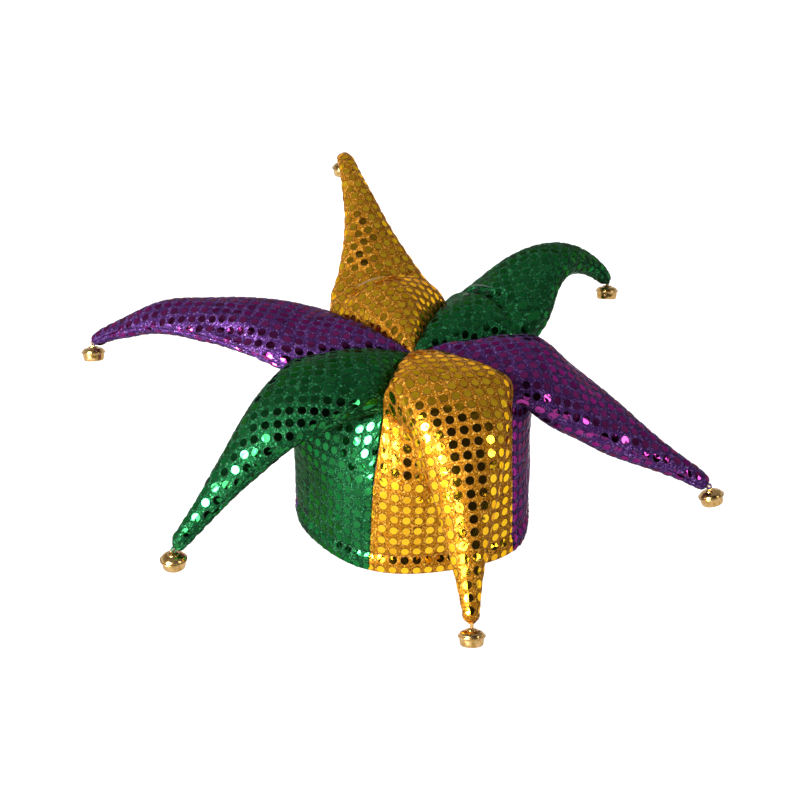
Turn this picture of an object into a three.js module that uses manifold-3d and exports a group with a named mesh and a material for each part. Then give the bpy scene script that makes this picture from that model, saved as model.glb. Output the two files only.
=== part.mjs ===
// Jester hat: a round crown of six gores, each running out to a tapering point with a jingle bell.
// Millimetres, +Z up, hem on the ground plane, the front point towards -Y.
import * as THREE from "three";
import { mergeVertices } from "three/addons/utils/BufferGeometryUtils.js";
import Module from "manifold-3d";

const wasm = await Module();
wasm.setup();

// Crown
const CROWN_WIDTH = 192; // outside at the hem, side to side
const CROWN_DEPTH = 208; // outside at the hem, front to back
const SHOULDER_HEIGHT = 139; // hem to the top of the band seams
const CENTRE_RISE = 4; // crown centre above the shoulders
const SHOULDER_FLARE = 0.02; // shoulders wider than the hem, as a share
const FLATNESS = 0.012; // how far each panel lies flatter than the round, as a share
const CENTRE_SHARE = 0.035; // where each roof sector ends short of the crown centre
const HEM_PUSH = 8; // how far the hem stands out at PUSH_AT, fading towards the shoulder
const PUSH_AT = -38; // degrees from +X
const PUSH_SPREAD = 26; // degrees either side
const LINING_SHARE = 0.3; // inside this share the lining hangs straight below the cloth
const DOME_SHARE = 0.87; // share of the way out at which the roof reaches its full height

// Cloth
const CLOTH = 2; // foam backed sequin cloth
const SEAM_GAP = 0.3; // clearance between sewn pieces
const HEM_HEIGHT = 16; // cloth folded up inside
const HEM_CLOTH = 3.6; // both layers of the hem
const STITCH_DIP = 1; // how far the hem stitching pulls the cloth in
const HEM_SWELL = 0.8; // how far the fold below it stands out
const HEM_STEP = 0.02; // height over which the wall thins at the hem's raw edge
const HEM_EASE = 1.45; // the band is plain again at this many hem heights

// Points
const POINT_LENGTH = 184; // shoulder to tip along the middle
const PUFF_OVER = 20; // fullness of the top face above the side seams
const PUFF_UNDER = 20; // fullness of the underside below them
const TIP_RADIUS = 5.5; // rounded end of each point
const FULLNESS = 1.15; // 1 is a half ellipse, more is more pointed
const BLEND_SHARE = 0.2; // share of the point over which the round of the shoulder fades
const LIFT_SHARE = 0.1; // share of the point over which its faces turn from upright to square on

// Dent at the front left, where two hanging points pull the shoulder in
const DENT_DEEP = 20; // at the shoulder
const DENT_AT = 255; // degrees from +X
const DENT_SPREAD = 30; // degrees either side
const DENT_FROM = 0.5; // share of the shoulder height where it starts

// Bell
const BELL_WIDTH = 20.4; // across the crimped rim
const BELL_CAP_HEIGHT = 5; // rim to the top of the cap
const BELL_BOWL_HEIGHT = 7.3; // rim to the bottom of the bowl
const BELL_WALL = 0.8;
const BELL_RIM = 0.65; // thickness of each half's rim
const RIM_WIDTH = 1; // how far the rim stands out from the bowl
const STEP_WIDTH = 8.2; // raised ring round the loop
const LOOP_RADIUS = 1.6; // to the middle of the wire
const LOOP_WIRE = 1; // wire thickness
const LOOP_SINK = 0.4; // how far the loop is soldered into the cap
const SLOT_WIDTH = 1.6;
const SLOT_LENGTH = 11;

// Detail of the meshes
const COLUMNS = 8;
const BELL_SIDES = 12;

// Seams between gores, degrees from +X, at the hem and at the shoulder
const HEM_SEAMS = [250.5, 318, 376.5, 434, 493, 552, 610.5];
const SHOULDER_SEAMS = [255, 318, 376.5, 434, 493, 554, 615];

// Each point's shape along its length. reach is a share of POINT_LENGTH; pitch and yaw are in degrees;
// width is a share of half the shoulder, over of PUFF_OVER and under of PUFF_UNDER; hump is a share of
// FULLNESS for the top face, less for a squarer back. lean is how far the top of the bell leans to the
// back and to the right, in degrees.
const AT = [0, 0.12, 0.25, 0.4, 0.6, 0.8, 1];
const GORES = [
  {
    name: "gold_front", colour: 0xc8901e, reach: 0.96, lean: [22, 0],
    pitch: [10, -15, -42, -55, -56, -52, -48],
    yaw: [0, 5, 0, -3, -5, -5, -5],
    width: [1, 0.86, 0.72, 0.57, 0.38, 0.22, 0.1],
    hump: [0.5, 0.5, 0.7, 1, 1, 1, 1],
    over: [1.5, 1.4, 1.2, 0.95, 0.7, 0.5, 0.3],
    under: [0.8, 0.8, 0.8, 0.75, 0.6, 0.45, 0.28],
  },
  {
    name: "purple_right", colour: 0x5a2378, reach: 0.955, lean: [10, -14],
    pitch: [-13, -30, -35, -31, -28, -27, -28],
    yaw: [0, 0, 0, -2, -5, -5, -5],
    width: [1, 0.93, 0.82, 0.65, 0.46, 0.27, 0.13],
    hump: [1, 1, 1, 1, 1, 1, 1],
    over: [1, 0.88, 0.8, 0.72, 0.6, 0.42, 0.27],
    under: [0.8, 1.1, 1.25, 1.15, 0.9, 0.54, 0.31],
  },
  {
    name: "green_back_right", colour: 0x1c7a3e, reach: 0.91, lean: [20, 2],
    pitch: [4, 23, 29, 21, -4, -33, -57],
    yaw: [0, 8, 8, 3, -5, -13, -17],
    width: [1, 0.9, 0.78, 0.62, 0.42, 0.23, 0.12],
    hump: [0.9, 1, 1, 1, 1, 1, 1],
    over: [1.15, 1.1, 0.9, 0.78, 0.6, 0.38, 0.25],
    under: [0.8, 1, 1.15, 1.15, 0.95, 0.54, 0.28],
  },
  {
    name: "gold_back", colour: 0xc8901e, reach: 1, lean: [0, 0],
    pitch: [6, 29, 42, 42, 37, 23, -18],
    yaw: [0, -1, 0, 2, 4, 0, -6],
    width: [1, 0.88, 0.68, 0.48, 0.29, 0.18, 0.12],
    hump: [1, 1, 1, 1, 1, 1, 1],
    over: [1.5, 0.95, 0.9, 0.8, 0.6, 0.4, 0.28],
    under: [0.8, 0.9, 0.9, 0.8, 0.6, 0.4, 0.28],
  },
  {
    name: "purple_back_left", colour: 0x5a2378, reach: 1.1, lean: [18, -2],
    pitch: [9, 11, 7, 1, -8, -22, -40],
    yaw: [0, 0, 0, 0, 0, 0, 0],
    width: [1, 0.9, 0.76, 0.62, 0.44, 0.25, 0.12],
    hump: [1, 1, 1, 1, 1, 1, 1],
    over: [1.1, 1.1, 1, 0.9, 0.7, 0.4, 0.28],
    under: [0.8, 0.7, 0.62, 0.62, 0.62, 0.48, 0.3],
  },
  {
    name: "green_front_left", colour: 0x1c7a3e, reach: 0.975, lean: [0, 0],
    pitch: [4, -4, -17, -33, -42, -41, -39],
    yaw: [0, -8, -11, -15, -16, -15, -15],
    width: [1, 0.88, 0.74, 0.56, 0.37, 0.21, 0.11],
    hump: [0.7, 0.7, 0.8, 1, 1, 1, 1],
    over: [1.2, 1.2, 1.1, 0.9, 0.65, 0.45, 0.28],
    under: [0.8, 0.9, 0.9, 0.8, 0.6, 0.4, 0.28],
  },
];

const rad = THREE.MathUtils.degToRad;
const mix = THREE.MathUtils.lerp;
const at = (p, v, d) => p.clone().addScaledVector(v, d);
const steps = (n) => Array.from({ length: n + 1 }, (_, i) => i / n);
// Seams lean, so a piece is drawn in a little more than half the clearance on each side
const INSET = SEAM_GAP * 0.58;

// Smooth curve through a column of the table
function column(values, s) {
  const slope = (i) => {
    if (i === 0) return (values[1] - values[0]) / (AT[1] - AT[0]);
    const last = AT.length - 1;
    if (i === last) return (values[last] - values[last - 1]) / (AT[last] - AT[last - 1]);
    const a = AT[i] - AT[i - 1];
    const b = AT[i + 1] - AT[i];
    return (a * a * values[i + 1] + (b * b - a * a) * values[i] - b * b * values[i - 1]) / (a * b * (a + b));
  };
  let i = 0;
  while (i < AT.length - 2 && s > AT[i + 1]) i++;
  const h = AT[i + 1] - AT[i];
  const t = (s - AT[i]) / h;
  return (
    (2 * t ** 3 - 3 * t * t + 1) * values[i] +
    (t ** 3 - 2 * t * t + t) * h * slope(i) +
    (-2 * t ** 3 + 3 * t * t) * values[i + 1] +
    (t ** 3 - t * t) * h * slope(i + 1)
  );
}

// 1 at a plan direction in degrees, fading over spread degrees to both sides of it
function bellCurve(phi, centre, spread) {
  const aside = THREE.MathUtils.euclideanModulo(THREE.MathUtils.radToDeg(phi) - centre + 180, 360) - 180;
  return Math.exp(-((aside / spread) ** 2));
}

// Outside of the band at plan angle phi, u from -1 to 1 across its panel, height z, pushed out by swell
function band(phi, u, z, swell = 0) {
  const round = 1 / Math.hypot(Math.cos(phi) / (CROWN_WIDTH / 2), Math.sin(phi) / (CROWN_DEPTH / 2));
  const flat = 1 - FLATNESS * Math.cos(Math.PI * u);
  const up = z / SHOULDER_HEIGHT;
  const push = HEM_PUSH * bellCurve(phi, PUSH_AT, PUSH_SPREAD) * (1 - up);
  const high = THREE.MathUtils.smoothstep(up, DENT_FROM, 1);
  const pull = DENT_DEEP * bellCurve(phi, DENT_AT, DENT_SPREAD) * high;
  const r = round * flat * (1 + SHOULDER_FLARE * up) + swell + push - pull;
  return new THREE.Vector3(r * Math.cos(phi), r * Math.sin(phi), z);
}

// The middle line of a gore's point, with a frame at each station: along, side and up
function spine(gore, k) {
  const start = rad(SHOULDER_SEAMS[k]);
  const end = rad(SHOULDER_SEAMS[k + 1]);
  const left = band(start, -1, SHOULDER_HEIGHT);
  const right = band(end, 1, SHOULDER_HEIGHT);
  const middle = left.clone().lerp(right, 0.5);
  const half = left.distanceTo(right) / 2;
  const chord = right.clone().sub(left).normalize();
  const outward = Math.atan2(-chord.x, chord.y);
  const length = gore.reach * POINT_LENGTH;
  const frame = (s) => {
    const pitch = rad(column(gore.pitch, s));
    const yaw = outward + rad(column(gore.yaw, s));
    const along = new THREE.Vector3(
      Math.cos(pitch) * Math.cos(yaw), Math.cos(pitch) * Math.sin(yaw), Math.sin(pitch));
    const side = new THREE.Vector3(-Math.sin(yaw), Math.cos(yaw), 0);
    return { along, side, up: along.clone().cross(side) };
  };
  const STATIONS = 96;
  const places = [middle.clone()];
  for (let i = 1; i <= STATIONS; i++) {
    const go = frame((i - 0.5) / STATIONS).along;
    places.push(at(places[i - 1], go, length / STATIONS));
  }
  const place = (s) => {
    const x = Math.min(s * STATIONS, STATIONS - 1e-9);
    const i = Math.floor(x);
    return places[i].clone().lerp(places[i + 1], x - i);
  };
  return { k, gore, start, end, left, right, middle, half, chord, length, frame, place };
}

// How far the round band stands out from the straight chord of a gore, at c from -1 to 1 across it
function bow(sp, c) {
  const phi = mix(sp.start, sp.end, (c + 1) / 2);
  return band(phi, c, SHOULDER_HEIGHT).sub(at(sp.middle, sp.chord, sp.half * c));
}

// One row of a point's skin at share s of its length; way is 1 for the top face, -1 for the underside
function pointRow(sp, s, way) {
  const { along, side, up } = sp.frame(s);
  const centre = sp.place(s);
  const roundFrom = 1 - TIP_RADIUS / sp.length;
  const round = s <= roundFrom ? 1 : Math.sqrt(Math.max(0, 1 - ((s - roundFrom) / (1 - roundFrom)) ** 2));
  const wide = (sp.half * column(sp.gore.width, s) - INSET) * round;
  const puff = way > 0 ? PUFF_OVER * column(sp.gore.over, s) : PUFF_UNDER * column(sp.gore.under, s);
  const deep = puff * round;
  const fade = Math.max(0, 1 - s / BLEND_SHARE) ** 2;
  const lift = new THREE.Vector3(0, 0, 1).lerp(up, THREE.MathUtils.smoothstep(s, 0, LIFT_SHARE)).normalize();
  const power = way > 0 ? FULLNESS * column(sp.gore.hump, s) : FULLNESS;
  const row = steps(COLUMNS).map((t) => {
    const angle = Math.PI * (t - 0.5);
    const c = Math.sin(angle);
    const rise = Math.max(0, Math.cos(angle));
    return at(at(centre, side, c * wide), lift, way * (rise ** power * deep + SEAM_GAP / 2))
      .addScaledVector(bow(sp, c), fade);
  });
  return { row, along, side };
}

// At its two edges a wall is set in straight across, so that it meets its neighbour face to face
function edgeways(side, j) {
  if (j === 0) return side.clone();
  if (j === COLUMNS) return side.clone().negate();
  return null;
}

// Stations along a point: even, then close together round the tip
function stations(sp) {
  const tip = TIP_RADIUS / sp.length;
  return [0, 0.08, 0.16, 0.25, 0.34, 0.44, 0.55, 0.67, 0.79, 0.9, 1 - tip, 1 - 0.4 * tip, 1];
}

// A wall of cloth: the outer skin given in rows, a lining surface set inside it, closed at its edges.
// directions gives the way in at each corner of the skin, from its normal.
function wall(rows, thickness, directions) {
  const n = rows.length;
  const m = rows[0].length;
  const inner = rows.map((row, i) =>
    row.map((p, j) => {
      const up = rows[Math.min(i + 1, n - 1)][j].clone().sub(rows[Math.max(i - 1, 0)][j]);
      const across = rows[i][Math.min(j + 1, m - 1)].clone().sub(rows[i][Math.max(j - 1, 0)]);
      const inward = directions(i, j, up.cross(across).normalize());
      return at(p, inward, thickness(i));
    }),
  );
  const corners = [];
  const push = (...list) => list.forEach((p) => corners.push(p.x, p.y, p.z));
  const quad = (a, b, c, d) => push(a, b, c, a, c, d);
  for (let i = 0; i < n - 1; i++)
    for (let j = 0; j < m - 1; j++) {
      quad(rows[i][j], rows[i][j + 1], rows[i + 1][j + 1], rows[i + 1][j]);
      quad(inner[i][j], inner[i + 1][j], inner[i + 1][j + 1], inner[i][j + 1]);
    }
  for (let i = 0; i < n - 1; i++) {
    quad(rows[i][0], rows[i + 1][0], inner[i + 1][0], inner[i][0]);
    quad(rows[i][m - 1], inner[i][m - 1], inner[i + 1][m - 1], rows[i + 1][m - 1]);
  }
  for (let j = 0; j < m - 1; j++) {
    quad(rows[0][j], inner[0][j], inner[0][j + 1], rows[0][j + 1]);
    quad(rows[n - 1][j], rows[n - 1][j + 1], inner[n - 1][j + 1], inner[n - 1][j]);
  }
  return closed(corners);
}

// Merge equal corners, drop empty triangles and turn the faces outward
function closed(corners) {
  const soup = new THREE.BufferGeometry();
  soup.setAttribute("position", new THREE.Float32BufferAttribute(corners, 3));
  const merged = mergeVertices(soup, 1e-4);
  const index = merged.index.array;
  const position = merged.attributes.position;
  const kept = [];
  let volume = 0;
  const [a, b, c] = [new THREE.Vector3(), new THREE.Vector3(), new THREE.Vector3()];
  for (let i = 0; i < index.length; i += 3) {
    const [p, q, r] = [index[i], index[i + 1], index[i + 2]];
    if (p === q || q === r || r === p) continue;
    kept.push(p, q, r);
    a.fromBufferAttribute(position, p);
    b.fromBufferAttribute(position, q);
    c.fromBufferAttribute(position, r);
    volume += a.dot(b.cross(c));
  }
  if (volume < 0) for (let i = 0; i < kept.length; i += 3) [kept[i], kept[i + 1]] = [kept[i + 1], kept[i]];
  merged.setIndex(kept);
  return merged;
}

// Upper piece: the roof sector, then the top face of the point
function upperPiece(sp) {
  const centre = new THREE.Vector3(0, 0, SHOULDER_HEIGHT + CENTRE_RISE);
  const roof = [CENTRE_SHARE, 0.14, LINING_SHARE, 0.5, 0.75];
  const rows = roof.map((q) => {
    const from = centre.clone().lerp(sp.left, q);
    const to = centre.clone().lerp(sp.right, q);
    const middle = from.clone().lerp(to, 0.5);
    const half = from.distanceTo(to) / 2 - INSET;
    const deep = PUFF_OVER * sp.gore.over[0] * Math.sin((Math.PI / 2) * Math.min(1, q / DOME_SHARE));
    return steps(COLUMNS).map((t) => {
      const angle = Math.PI * (t - 0.5);
      const c = Math.sin(angle);
      const full = Math.max(0, Math.cos(angle)) ** (FULLNESS * sp.gore.hump[0]);
      const p = at(middle, sp.chord, c * half).addScaledVector(bow(sp, c), q * q);
      p.z += full * deep + SEAM_GAP / 2;
      return p;
    });
  });
  const sides = roof.map(() => sp.chord);
  let tipAlong;
  for (const s of stations(sp)) {
    const made = pointRow(sp, s, 1);
    rows.push(made.row);
    sides.push(made.side);
    tipAlong = made.along;
  }
  const down = new THREE.Vector3(0, 0, -1);
  return wall(rows, () => CLOTH, (i, j, normal) => {
    if (i === rows.length - 1) return tipAlong.clone().negate();
    const inward = edgeways(sides[i], j) ?? normal.negate();
    const turn = i < roof.length ? THREE.MathUtils.smoothstep(roof[i], CENTRE_SHARE, LINING_SHARE) : 1;
    return down.clone().lerp(inward, turn).normalize();
  });
}

// Lower piece: the band panel from its folded hem up, then the underside of the point
function lowerPiece(sp) {
  const hemStart = rad(HEM_SEAMS[sp.k]);
  const hemEnd = rad(HEM_SEAMS[sp.k + 1]);
  const top = SHOULDER_HEIGHT - SEAM_GAP / 2;
  const under = PUFF_UNDER * sp.gore.under[0];
  const hemRows = [
    { z: 0, swell: 0 },
    { z: 0.5 * HEM_HEIGHT, swell: HEM_SWELL },
    { z: HEM_HEIGHT, swell: -STITCH_DIP },
    { z: HEM_HEIGHT + HEM_STEP, swell: -STITCH_DIP },
    { z: HEM_EASE * HEM_HEIGHT, swell: 0 },
  ];
  const hemThick = 3;
  const from = hemRows[hemRows.length - 1].z;
  const panelRows = [0.33, 0.66, 0.88].map((t) => ({ t, swell: 0 }));
  const draw = 1 - INSET / sp.half;
  const rows = [...hemRows, ...panelRows].map(({ z, t, swell }) =>
    steps(COLUMNS).map((x) => {
      const angle = Math.PI * (x - 0.5);
      const c = Math.sin(angle);
      const rise = Math.max(0, Math.cos(angle));
      const height = z ?? mix(from, top - under * rise ** FULLNESS, t);
      const lean = height / SHOULDER_HEIGHT;
      const phi = mix(
        mix(hemStart, hemEnd, (c * draw + 1) / 2), mix(sp.start, sp.end, (c * draw + 1) / 2), lean);
      return band(phi, c, height, swell);
    }),
  );
  const bandRows = rows.length;
  const sides = [];
  let tipAlong;
  for (const s of stations(sp)) {
    const made = pointRow(sp, s, -1);
    rows.push(made.row);
    sides.push(made.side);
    tipAlong = made.along;
  }
  return wall(rows, (i) => (i < hemThick ? HEM_CLOTH : CLOTH), (i, j, normal) => {
    if (i === rows.length - 1) return tipAlong.clone().negate();
    const inward = rows[i][j].clone().setZ(0).normalize().negate();
    if (i < hemRows.length) return inward;
    if (i < bandRows) return j === 0 || j === COLUMNS ? inward : normal;
    const edge = edgeways(sides[i - bandRows], j);
    if (edge && i === bandRows) return edge.add(inward).normalize();
    return edge ?? normal;
  });
}

const solid = (geometry) => {
  const bare = geometry.clone();
  bare.deleteAttribute("normal");
  bare.deleteAttribute("uv");
  const merged = mergeVertices(bare, 1e-4);
  return new wasm.Manifold(
    new wasm.Mesh({
      numProp: 3,
      vertProperties: new Float32Array(merged.attributes.position.array),
      triVerts: new Uint32Array(merged.index.array),
    }),
  );
};

const geometryOf = (manifold) => {
  const mesh = manifold.getMesh();
  const geometry = new THREE.BufferGeometry();
  geometry.setAttribute("position", new THREE.BufferAttribute(mesh.vertProperties, 3));
  geometry.setIndex(new THREE.BufferAttribute(mesh.triVerts, 1));
  geometry.computeVertexNormals();
  return geometry;
};

// Solid of revolution about Z from a profile of [radius, height] that starts and ends on the axis
const turned = (profile) => {
  const points = profile.map(([r, z]) => new THREE.Vector2(r, z));
  const lathe = new THREE.LatheGeometry(points, BELL_SIDES).rotateX(Math.PI / 2).toNonIndexed();
  return closed(Array.from(lathe.attributes.position.array));
};

// Bell cap, rim at height 0: a dome with a raised ring round its loop
function bellCap() {
  const r = BELL_WIDTH / 2;
  const body = r - RIM_WIDTH;
  const h = BELL_CAP_HEIGHT;
  const w = BELL_WALL;
  const low = SEAM_GAP / 2;
  const dome = turned([
    [0, h], [0.4 * STEP_WIDTH, h], [STEP_WIDTH / 2, 0.88 * h], [0.72 * r, 0.7 * h], [body, 0.3 * h],
    [r, low + BELL_RIM], [r, low], [body - w, low], [body - w, 0.3 * h - w / 2],
    [0.72 * r - w, 0.7 * h - w], [0, h - 1.2 * w],
  ]);
  const loop = new THREE.TorusGeometry(LOOP_RADIUS, LOOP_WIRE / 2, 5, 8)
    .rotateX(Math.PI / 2)
    .translate(0, 0, h + LOOP_RADIUS + LOOP_WIRE / 2 - LOOP_SINK);
  return geometryOf(solid(dome).add(solid(loop)));
}

// Bell bowl, rim at height 0: nearly upright sides, a rounded bottom and a cross slot
function bellBowl() {
  const r = BELL_WIDTH / 2;
  const body = r - RIM_WIDTH;
  const h = BELL_BOWL_HEIGHT;
  const w = BELL_WALL;
  const top = -SEAM_GAP / 2;
  const bowl = turned([
    [0, -h], [0.66 * r, -h], [0.81 * r, -0.86 * h], [0.95 * body, -0.5 * h], [body, top - BELL_RIM],
    [r, top - BELL_RIM], [r, top], [body - w, top], [0.95 * body - w, -0.5 * h],
    [0.81 * r - w, -0.86 * h + w], [0.66 * r - w, w - h], [0, w - h],
  ]);
  const cut = solid(new THREE.BoxGeometry(SLOT_LENGTH, SLOT_WIDTH, h).translate(0, 0, -h));
  const across = solid(new THREE.BoxGeometry(SLOT_WIDTH, SLOT_LENGTH, h).translate(0, 0, -h));
  return geometryOf(solid(bowl).subtract(cut).subtract(across));
}

const cloth = (colour) => new THREE.MeshStandardMaterial({ color: colour, roughness: 0.35, metalness: 0.4 });
const brass = new THREE.MeshStandardMaterial({ color: 0xc79a45, roughness: 0.25, metalness: 1 });

const hat = new THREE.Group();
const add = (parent, name, geometry, material) => {
  const mesh = new THREE.Mesh(geometry, material);
  mesh.name = name;
  parent.add(mesh);
  return mesh;
};

GORES.forEach((gore, k) => {
  const sp = spine(gore, k);
  const material = cloth(gore.colour);
  add(hat, `upper_${gore.name}`, upperPiece(sp), material);
  add(hat, `lower_${gore.name}`, lowerPiece(sp), material);
  // The bell hangs from the end of the point by its loop, ahead of the tip and below it
  const { along } = sp.frame(1);
  const away = at(along, new THREE.Vector3(0, 0, 1), -1).normalize();
  const bell = new THREE.Group();
  bell.position.copy(at(sp.place(1), away, (SEAM_GAP + LOOP_RADIUS + LOOP_WIRE / 2) / away.dot(along)));
  bell.rotation.set(-rad(gore.lean[0]), rad(gore.lean[1]), 0);
  const drop = BELL_CAP_HEIGHT + LOOP_RADIUS + LOOP_WIRE / 2 - LOOP_SINK;
  for (const [name, geometry] of [["cap", bellCap()], ["bowl", bellBowl()]]) {
    const half = add(bell, `bell_${name}_${gore.name}`, geometry, brass);
    half.position.z = -drop;
    half.rotation.z = Math.atan2(along.y, along.x);
  }
  hat.add(bell);
});

// Origin under the middle of the whole outline
hat.updateMatrixWorld(true);
const bounds = new THREE.Box3().setFromObject(hat);
const middle = bounds.getCenter(new THREE.Vector3());
hat.position.set(-middle.x, -middle.y, -bounds.min.z);
hat.updateMatrixWorld(true);

export default hat;
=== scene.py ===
"""Jester hat: a round crown of six sequin cloth gores, each running out to a curved point with a bell."""
import bpy
import numpy as np
from mathutils import Euler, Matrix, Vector


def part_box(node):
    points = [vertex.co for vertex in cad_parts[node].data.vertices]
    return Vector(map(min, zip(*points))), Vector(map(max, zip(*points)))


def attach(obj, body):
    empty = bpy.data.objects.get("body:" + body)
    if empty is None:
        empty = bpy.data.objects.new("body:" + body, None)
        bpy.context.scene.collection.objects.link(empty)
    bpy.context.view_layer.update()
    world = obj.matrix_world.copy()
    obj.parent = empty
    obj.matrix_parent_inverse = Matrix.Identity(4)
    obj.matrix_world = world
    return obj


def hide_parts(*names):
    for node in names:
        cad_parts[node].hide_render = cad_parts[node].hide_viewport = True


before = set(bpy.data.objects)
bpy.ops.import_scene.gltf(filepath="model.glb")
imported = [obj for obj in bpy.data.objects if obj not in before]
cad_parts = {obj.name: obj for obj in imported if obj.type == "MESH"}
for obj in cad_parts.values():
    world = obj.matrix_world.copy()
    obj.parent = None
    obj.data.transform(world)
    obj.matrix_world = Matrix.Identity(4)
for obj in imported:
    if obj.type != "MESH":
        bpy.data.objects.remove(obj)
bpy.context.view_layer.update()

MM = 0.001

# Crown, in millimetres
CROWN_WIDTH = 192
CROWN_DEPTH = 208
SHOULDER_HEIGHT = 139
CENTRE_RISE = 4
SHOULDER_FLARE = 0.02
FLATNESS = 0.012
CENTRE_SHARE = 0.008
HEM_PUSH = 8
PUSH_AT = -38
PUSH_SPREAD = 26
DOME_SHARE = 0.87
LINING_SHARE = 0.3

# Cloth
CLOTH = 2.0
HEM_CLOTH = 3.6
HEM_HEIGHT = 16
STITCH_DIP = 1.6
HEM_SWELL = 0.8
SEAM_TUCK = 1.3
SEAM_DIP = 1.2
PUCKER = 0.35
PUCKER_PITCH = 11.0
WAVES = 1.2
THINNEST_SHARE = 0.3

# Points
POINT_LENGTH = 184
PUFF_OVER = 20
PUFF_UNDER = 20
TIP_RADIUS = 5.5
FULLNESS = 1.15
BLEND_SHARE = 0.2
LIFT_SHARE = 0.1

# Dent at the front left, where two hanging points pull the shoulder in
DENT_DEEP = 20
DENT_AT = 255
DENT_SPREAD = 30
DENT_FROM = 0.5

# Sequins: flat foil discs on a square lattice
SEQUIN_RADIUS = 3.4
SEQUIN_PITCH = 9.3
SEQUIN_SIDES = 14
SEQUIN_LIFT = 0.25
SEQUIN_BEND = 0.12
SEQUIN_OFF = 0.2
SEQUIN_TILT = 0.022
SEQUIN_STRAY = 0.12
SEQUIN_SINK = 0.1
SEQUIN_BEVEL = 0.08
SEQUIN_FACE = 0.93
SEQUIN_ROOM = 0.15

# Bell
BELL_WIDTH = 20.4
BELL_CAP_HEIGHT = 5
BELL_BOWL_HEIGHT = 7.3
BELL_WALL = 0.8
BELL_RIM = 0.65
RIM_WIDTH = 1.0
STEP_WIDTH = 8.2
LOOP_RADIUS = 1.6
LOOP_WIRE = 1.0
LOOP_SINK = 0.4
SLOT_WIDTH = 1.6
SLOT_LENGTH = 11
SEAM_GAP = 0.3

# Sewing
STITCH_PITCH = 4.2
STITCH_LONG = 2.6
STITCH_THICK = 0.45
STITCH_RISE = [-0.35, 0.15, 0.22, 0.15, -0.35]
THREAD_RING = 2.0
THREAD_WIRE = 0.7
THREAD_TURNS = [-0.9, -0.45, 0, 0.4, 0.85]
THREAD_SHARE = 0.45

# Studio
FLOOR_GLOW = 0.72
ROOM_DARK = 0.012
ROOM_BRIGHT = 0.85
ROOM_HIGH = 0.32
CAMERA_UP = 28
CAMERA_AWAY = 1.2
CAMERA_PIXELS = 1474

# Fineness of the meshes
ACROSS = 48
ROOF_ROWS = 34
POINT_ROWS = 110
BAND_ROWS = 46
BELL_SIDES = 64

# Seams between gores, degrees from +X, at the hem and at the shoulder
HEM_SEAMS = [250.5, 318, 376.5, 434, 493, 552, 610.5]
SHOULDER_SEAMS = [255, 318, 376.5, 434, 493, 554, 615]

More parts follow.
